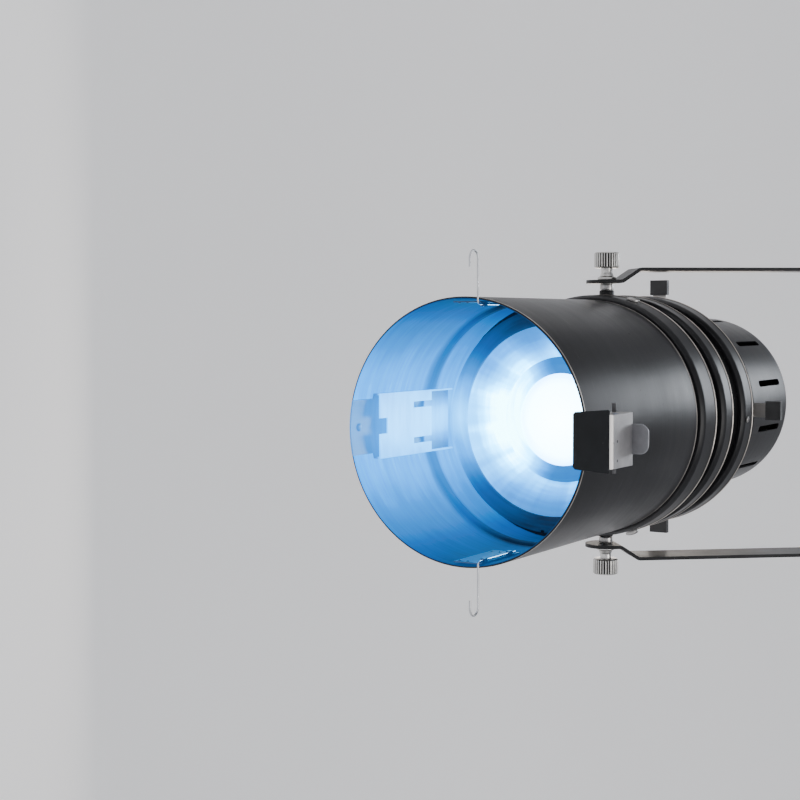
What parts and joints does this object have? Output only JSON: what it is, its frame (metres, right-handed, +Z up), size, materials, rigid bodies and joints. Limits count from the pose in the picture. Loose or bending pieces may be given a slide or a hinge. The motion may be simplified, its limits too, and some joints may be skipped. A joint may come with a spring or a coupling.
{
  "type": "ellipsoidal spotlight",
  "caption": "Stage ellipsoidal spotlight hanging in a joggled strip yoke: round barrel with sprung frame latch and wire hooks, focusing lens tube, shutters, gate and vented lamp house.",
  "frame": {"origin": "centre of the clamp-bolt hole in the top face of the yoke, which the lamp hangs from", "axes": "+Z up, X along the tilt axis, the beam leaves towards -Y and down; at rest it points 39 degrees below the horizontal"},
  "size_m": [0.284, 0.5594, 0.5487],
  "materials": {
    "satin_black": "satin black paint over turned and rolled sheet, fine turning marks",
    "matt_black": "matt black anti-glare paint",
    "bare_steel": "bare turned steel",
    "spring_steel": "drawn spring wire",
    "zinc_sheet": "zinc-plated sheet steel",
    "spun_aluminium": "spun bright aluminium with ring marks",
    "lens_glass": "polished lens glass, lit from behind",
    "lamp_glass": "lit lamp envelope",
    "ceramic": "unglazed lamp ceramic",
    "black_plastic": "heat-resistant moulded grip"
  },
  "bodies": {
    "yoke": {"yoke_frame": "satin_black"},
    "head": {"pivot_boss_left": "satin_black", "pivot_boss_right": "satin_black", "pivot_spacer_left": "bare_steel", "pivot_spacer_right": "bare_steel", "housing_shell": "satin_black", "front_vent_band": "satin_black", "middle_vent_band": "satin_black", "rear_vent_band": "satin_black", "housing_screw_left": "bare_steel", "housing_screw_right": "bare_steel", "rear_band_screw": "bare_steel", "lens_barrel": "satin_black", "lens_stop_ring": "satin_black", "latch_bracket": "zinc_sheet", "latch_pin": "bare_steel", "latch_spring": "spring_steel", "lower_guide": "zinc_sheet", "hook_plate_left": "zinc_sheet", "hook_plate_right": "zinc_sheet", "gate_housing": "satin_black", "aperture_plate": "zinc_sheet", "shutter_backplate": "zinc_sheet", "rear_housing": "satin_black", "reflector": "spun_aluminium", "rear_cap": "satin_black", "cap_screw_left": "bare_steel", "cap_screw_right": "bare_steel", "cable_gland": "black_plastic"},
    "tilt_knob_left": {"tilt_knob_left": "bare_steel"},
    "tilt_knob_right": {"tilt_knob_right": "bare_steel"},
    "lens_carriage": {"lens_retaining_ring": "matt_black", "lens_tube": "matt_black", "spun_baffle": "spun_aluminium", "lens_cell": "matt_black", "front_lens": "lens_glass", "lens_spacer": "matt_black", "rear_lens": "lens_glass", "lens_lock_ring": "zinc_sheet", "lens_bulkhead": "matt_black", "guide_ring_front": "black_plastic", "guide_ring_rear": "black_plastic"},
    "focus_knob": {"focus_knob": "bare_steel"},
    "latch": {"gel_latch": "zinc_sheet"},
    "hook_left": {"wire_hook_left": "spring_steel"},
    "hook_right": {"wire_hook_right": "spring_steel"},
    "shutter_top": {"shutter_top": "bare_steel", "shutter_grip_top": "black_plastic"},
    "shutter_bottom": {"shutter_bottom": "bare_steel", "shutter_grip_bottom": "black_plastic"},
    "shutter_left": {"shutter_left": "bare_steel", "shutter_grip_left": "black_plastic"},
    "shutter_right": {"shutter_right": "bare_steel", "shutter_grip_right": "black_plastic"},
    "pattern_holder": {"pattern_holder": "bare_steel"},
    "lamp_carrier": {"lamp_socket": "ceramic", "lamp_base": "ceramic", "lamp_bulb": "lamp_glass"},
    "lamp_knob": {"lamp_adjust_knob": "black_plastic"}
  },
  "joints": [
    {"name": "head_tilt", "type": "hinge", "parent": "yoke", "child": "head", "pos_m": [0, 0, -0.31], "axis": [1, 0, 0], "range_deg": [-69, 60]},
    {"name": "tilt_knob_left_turn", "type": "hinge", "parent": "head", "child": "tilt_knob_left", "pos_m": [-0.13, 0, -0.31], "axis": [-1, 0, 0], "range_deg": [0, 360]},
    {"name": "tilt_knob_right_turn", "type": "hinge", "parent": "head", "child": "tilt_knob_right", "pos_m": [0.13, 0, -0.31], "axis": [1, 0, 0], "range_deg": [0, 360]},
    {"name": "focus_slide", "type": "slide", "parent": "head", "child": "lens_carriage", "axis": [0, 0.7771, 0.6293], "range_m": [0, 0.03]},
    {"name": "focus_knob_turn", "type": "hinge", "parent": "lens_carriage", "child": "focus_knob", "pos_m": [0, 0.00119, -0.44415], "axis": [0, 0.6293, -0.7771], "range_deg": [0, 360]},
    {"name": "latch_hinge", "type": "hinge", "parent": "head", "child": "latch", "pos_m": [0, -0.26816, -0.37531], "axis": [-1, 0, 0], "range_deg": [0, 60], "stiffness_Nm_per_rad": 0.15, "springref_deg": -34.38},
    {"name": "wire_hook_left_swing", "type": "hinge", "parent": "head", "child": "hook_left", "pos_m": [-0.0945, -0.20737, -0.45991], "axis": [0, 0.7771, 0.6293], "range_deg": [-70, 70]},
    {"name": "wire_hook_right_swing", "type": "hinge", "parent": "head", "child": "hook_right", "pos_m": [0.0945, -0.20737, -0.45991], "axis": [0, 0.7771, 0.6293], "range_deg": [-70, 70]},
    {"name": "shutter_top_slide", "type": "slide", "parent": "head", "child": "shutter_top", "axis": [0, 0.6293, -0.7771], "range_m": [0, 0.031]},
    {"name": "shutter_bottom_slide", "type": "slide", "parent": "head", "child": "shutter_bottom", "axis": [0, -0.6293, 0.7771], "range_m": [0, 0.031]},
    {"name": "shutter_left_slide", "type": "slide", "parent": "head", "child": "shutter_left", "axis": [1, 0, 0], "range_m": [0, 0.031]},
    {"name": "shutter_right_slide", "type": "slide", "parent": "head", "child": "shutter_right", "axis": [-1, 0, 0], "range_m": [0, 0.031]},
    {"name": "pattern_slide", "type": "slide", "parent": "head", "child": "pattern_holder", "axis": [0, -0.6293, 0.7771], "range_m": [0, 0.1]},
    {"name": "lamp_knob_turn", "type": "hinge", "parent": "head", "child": "lamp_knob", "pos_m": [0, 0.2211, -0.13096], "axis": [0, 0.7771, 0.6293], "range_deg": [-180, 180]},
    {"name": "lamp_slide", "type": "slide", "parent": "head", "child": "lamp_carrier", "axis": [0, 0.7771, 0.6293], "range_m": [-0.0031, 0.0031]}
  ],
  "couplings": [
    {"joint": "lamp_knob_turn", "follows": "lamp_slide", "rad_per_m": 1000}
  ]
}
